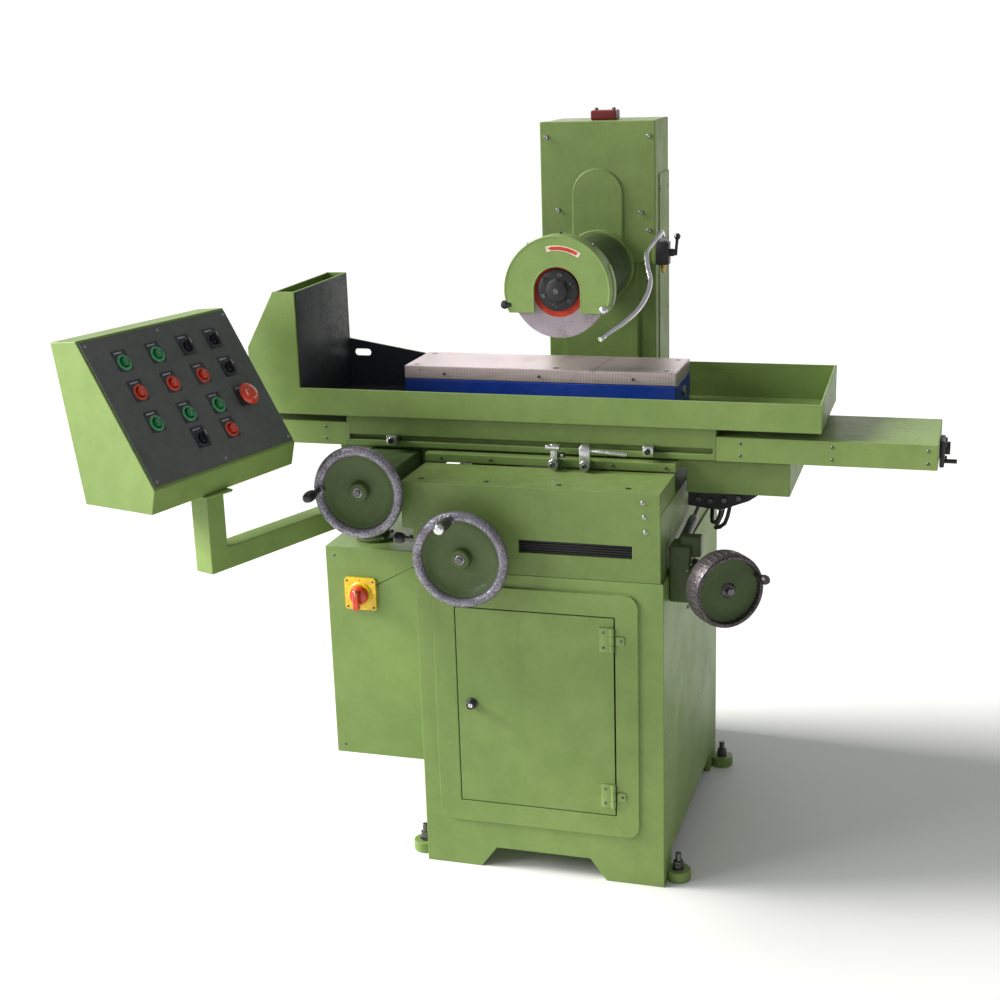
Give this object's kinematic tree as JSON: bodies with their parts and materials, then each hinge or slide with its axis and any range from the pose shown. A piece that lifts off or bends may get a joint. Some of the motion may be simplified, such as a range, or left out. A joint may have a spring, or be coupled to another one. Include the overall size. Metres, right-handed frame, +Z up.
{
  "type": "hydraulic surface grinder",
  "caption": "Surface grinding machine with a column-mounted wheel head, magnetic chuck in a coolant tray on a reciprocating table, handwheels and a swivelling control pendant.",
  "frame": {"origin": "on the floor, under the middle of the machine's footprint", "axes": "+Z up, -Y towards the operator in front of the handwheels, +X to the operator's right along the table's travel"},
  "size_m": [1.684, 1.2004, 1.5334],
  "materials": {
    "machine_green": "gloss enamel",
    "cast_green": "gloss enamel on casting",
    "dark_green": "gloss enamel",
    "steel": "ground",
    "screw_steel": "oiled",
    "chrome": "bright plated",
    "wheel_rim": "turned rim with a painted disc",
    "chuck_blue": "gloss enamel",
    "chuck_face": "ground, laminated poles",
    "black": "satin black",
    "panel_grey": "satin grey",
    "green_plastic": "translucent cap",
    "red_plastic": "moulded cap",
    "black_plastic": "moulded knob",
    "yellow_plastic": "moulded plate",
    "abrasive": "bonded abrasive",
    "hose": "matte",
    "cap_red": "satin dark red"
  },
  "bodies": {
    "machine": {"bed": "cast_green", "column": "cast_green", "column_cap": "cap_red", "electrical_cabinet": "machine_green", "elevating_gearbox": "dark_green", "hydraulic_unit": "dark_green", "pedestal": "machine_green", "pendant_pivot": "dark_green", "switch_plate": "yellow_plastic"},
    "door": {"door": "machine_green"},
    "door_latch": {"door_latch": "black"},
    "cabinet_door": {"cabinet_door": "machine_green"},
    "switch_knob": {"switch_knob": "red_plastic"},
    "lift_screw": {"lift_screw": "screw_steel"},
    "handwheel_cross": {"cross_screw": "screw_steel", "handwheel_cross": "wheel_rim"},
    "handwheel_table": {"handwheel_table": "wheel_rim"},
    "handwheel_elevate": {"handwheel_elevate": "wheel_rim"},
    "saddle": {"hose_left": "hose", "hose_right": "hose", "reversing_valve": "black", "saddle": "cast_green", "table_cylinder": "steel", "traverse_gearbox": "dark_green"},
    "table": {"chuck_base": "chuck_blue", "chuck_face": "chuck_face", "piston_rod": "black", "table": "cast_green", "tray": "machine_green", "way_cover_left": "machine_green", "way_cover_right": "machine_green"},
    "clamp_lever": {"clamp_lever": "black"},
    "reverse_lever": {"reverse_lever": "chrome"},
    "stop_lever": {"stop_lever": "chrome"},
    "dog_left": {"dog_left": "chrome"},
    "dog_right": {"dog_right": "chrome"},
    "head": {"head_slide": "cast_green", "spindle_housing": "dark_green", "spindle_motor": "dark_green", "wheel_guard": "machine_green"},
    "spindle": {"grinding_wheel": "abrasive", "spindle": "steel"},
    "coolant_pipe": {"coolant_pipe": "chrome"},
    "pendant": {"pendant_arm": "machine_green", "pendant_box": "machine_green", "control_panel": "panel_grey"},
    "button_coolant_start": {"button_coolant_start": "green_plastic"},
    "button_coolant_stop": {"button_coolant_stop": "red_plastic"},
    "button_lift_down": {"button_lift_down": "green_plastic"},
    "button_lift_up": {"button_lift_up": "green_plastic"},
    "button_magnet_off": {"button_magnet_off": "red_plastic"},
    "button_pump_start": {"button_pump_start": "green_plastic"},
    "button_pump_stop": {"button_pump_stop": "red_plastic"},
    "button_wheel_start": {"button_wheel_start": "green_plastic"},
    "button_wheel_stop": {"button_wheel_stop": "red_plastic"},
    "emergency_stop": {"emergency_stop": "red_plastic"},
    "selector_coolant": {"selector_coolant": "black_plastic"},
    "selector_feed": {"selector_feed": "black_plastic"},
    "selector_magnet": {"selector_magnet": "black_plastic"},
    "selector_table": {"selector_table": "black_plastic"}
  },
  "joints": [
    {"name": "handwheel_cross_turn", "type": "hinge", "parent": "machine", "child": "handwheel_cross", "pos_m": [-0.09, -0.26577, 0.704], "axis": [0, -1, 0], "range_deg": [-1080, 7200]},
    {"name": "saddle_slide", "type": "slide", "parent": "machine", "child": "saddle", "axis": [0, 1, 0], "range_m": [-0.1001, 0.0151]},
    {"name": "handwheel_table_turn", "type": "hinge", "parent": "saddle", "child": "handwheel_table", "pos_m": [-0.308, -0.24377, 0.825], "axis": [0, -1, 0], "range_deg": [-916.73, 916.73]},
    {"name": "table_slide", "type": "slide", "parent": "saddle", "child": "table", "axis": [1, 0, 0], "range_m": [-0.2401, 0.2401]},
    {"name": "handwheel_elevate_turn", "type": "hinge", "parent": "machine", "child": "handwheel_elevate", "pos_m": [0.443, -0.23377, 0.665], "axis": [0.6225, -0.7826, 0], "range_deg": [-9900, 28800]},
    {"name": "head_slide", "type": "slide", "parent": "machine", "child": "head", "axis": [0, 0, 1], "range_m": [-0.0551, 0.1601]},
    {"name": "lift_screw_turn", "type": "hinge", "parent": "machine", "child": "lift_screw", "pos_m": [0.0415, 0.48373, 0.862], "axis": [0, 0, 1], "range_deg": [-9901, 28801]},
    {"name": "spindle_turn", "type": "hinge", "parent": "head", "child": "spindle", "pos_m": [0.0415, 0.05623, 1.195], "axis": [0, 1, 0], "continuous": true},
    {"name": "coolant_pipe_swivel", "type": "hinge", "parent": "head", "child": "coolant_pipe", "pos_m": [0.187, 0.40523, 1.2512], "axis": [0, 0, 1], "range_deg": [0, 25]},
    {"name": "door_hinge", "type": "hinge", "parent": "machine", "child": "door", "pos_m": [0.204, -0.21177, 0.3695], "axis": [0, 0, 1], "range_deg": [0, 110]},
    {"name": "door_latch_turn", "type": "hinge", "parent": "door", "child": "door_latch", "pos_m": [-0.093, -0.20977, 0.3755], "axis": [0, -1, 0], "range_deg": [0, 90]},
    {"name": "cabinet_door_hinge", "type": "hinge", "parent": "machine", "child": "cabinet_door", "pos_m": [-0.4739, 0.32923, 0.3205], "axis": [0, 0, -1], "range_deg": [0, 100]},
    {"name": "switch_knob_turn", "type": "hinge", "parent": "machine", "child": "switch_knob", "pos_m": [-0.394, -0.04377, 0.538], "axis": [0, -1, 0], "range_deg": [0, 90]},
    {"name": "pendant_swivel", "type": "hinge", "parent": "machine", "child": "pendant", "pos_m": [-0.384, 0.03623, 0.704], "axis": [0, 0, 1], "range_deg": [-8, 6]},
    {"name": "clamp_lever_turn", "type": "hinge", "parent": "machine", "child": "clamp_lever", "pos_m": [0.322, 0.12623, 0.736], "axis": [1, 0, 0], "range_deg": [0, 8]},
    {"name": "reverse_lever_turn", "type": "hinge", "parent": "saddle", "child": "reverse_lever", "pos_m": [0.054, -0.06377, 0.8565], "axis": [0, 1, 0], "range_deg": [-15, 15]},
    {"name": "stop_lever_turn", "type": "hinge", "parent": "saddle", "child": "stop_lever", "pos_m": [0.12, -0.06377, 0.8565], "axis": [0, 1, 0], "range_deg": [-12, 12]},
    {"name": "dog_left_slide", "type": "slide", "parent": "table", "child": "dog_left", "axis": [1, 0, 0], "range_m": [-0.085, 0.25]},
    {"name": "dog_right_slide", "type": "slide", "parent": "table", "child": "dog_right", "axis": [1, 0, 0], "range_m": [-0.25, 0.11]},
    {"name": "button_coolant_start_press", "type": "slide", "parent": "pendant", "child": "button_coolant_start", "axis": [-0.8199, 0.2166, -0.5299], "range_m": [0, 0.004], "stiffness_N_per_m": 400, "springref_m": -0.002},
    {"name": "button_coolant_stop_press", "type": "slide", "parent": "pendant", "child": "button_coolant_stop", "axis": [-0.8199, 0.2166, -0.5299], "range_m": [0, 0.004], "stiffness_N_per_m": 400, "springref_m": -0.002},
    {"name": "button_lift_down_press", "type": "slide", "parent": "pendant", "child": "button_lift_down", "axis": [-0.8199, 0.2166, -0.5299], "range_m": [0, 0.004], "stiffness_N_per_m": 400, "springref_m": -0.002},
    {"name": "button_lift_up_press", "type": "slide", "parent": "pendant", "child": "button_lift_up", "axis": [-0.8199, 0.2166, -0.5299], "range_m": [0, 0.004], "stiffness_N_per_m": 400, "springref_m": -0.002},
    {"name": "button_magnet_off_press", "type": "slide", "parent": "pendant", "child": "button_magnet_off", "axis": [-0.8199, 0.2166, -0.5299], "range_m": [0, 0.004], "stiffness_N_per_m": 400, "springref_m": -0.002},
    {"name": "button_pump_start_press", "type": "slide", "parent": "pendant", "child": "button_pump_start", "axis": [-0.8199, 0.2166, -0.5299], "range_m": [0, 0.004], "stiffness_N_per_m": 400, "springref_m": -0.002},
    {"name": "button_pump_stop_press", "type": "slide", "parent": "pendant", "child": "button_pump_stop", "axis": [-0.8199, 0.2166, -0.5299], "range_m": [0, 0.004], "stiffness_N_per_m": 400, "springref_m": -0.002},
    {"name": "button_wheel_start_press", "type": "slide", "parent": "pendant", "child": "button_wheel_start", "axis": [-0.8199, 0.2166, -0.5299], "range_m": [0, 0.004], "stiffness_N_per_m": 400, "springref_m": -0.002},
    {"name": "button_wheel_stop_press", "type": "slide", "parent": "pendant", "child": "button_wheel_stop", "axis": [-0.8199, 0.2166, -0.5299], "range_m": [0, 0.004], "stiffness_N_per_m": 400, "springref_m": -0.002},
    {"name": "emergency_stop_press", "type": "slide", "parent": "pendant", "child": "emergency_stop", "axis": [-0.8199, 0.2166, -0.5299], "range_m": [0, 0.004], "stiffness_N_per_m": 600, "springref_m": -0.002},
    {"name": "selector_coolant_turn", "type": "hinge", "parent": "pendant", "child": "selector_coolant", "pos_m": [-0.56991, -0.25006, 1.07304], "axis": [0.8199, -0.2166, 0.5299], "range_deg": [-45, 45]},
    {"name": "selector_feed_turn", "type": "hinge", "parent": "pendant", "child": "selector_feed", "pos_m": [-0.62262, -0.31681, 1.12732], "axis": [0.8199, -0.2166, 0.5299], "range_deg": [-45, 45]},
    {"name": "selector_magnet_turn", "type": "hinge", "parent": "pendant", "child": "selector_magnet", "pos_m": [-0.54955, -0.42403, 0.97043], "axis": [0.8199, -0.2166, 0.5299], "range_deg": [-45, 45]},
    {"name": "selector_table_turn", "type": "hinge", "parent": "pendant", "child": "selector_table", "pos_m": [-0.6027, -0.2414, 1.12732], "axis": [0.8199, -0.2166, 0.5299], "range_deg": [-45, 45]}
  ],
  "couplings": [
    {"joint": "saddle_slide", "follows": "handwheel_cross_turn", "m_per_rad": -0.00079577},
    {"joint": "table_slide", "follows": "handwheel_table_turn", "m_per_rad": -0.015},
    {"joint": "head_slide", "follows": "handwheel_elevate_turn", "m_per_rad": 0.00031831},
    {"joint": "lift_screw_turn", "follows": "handwheel_elevate_turn", "ratio": 1}
  ]
}
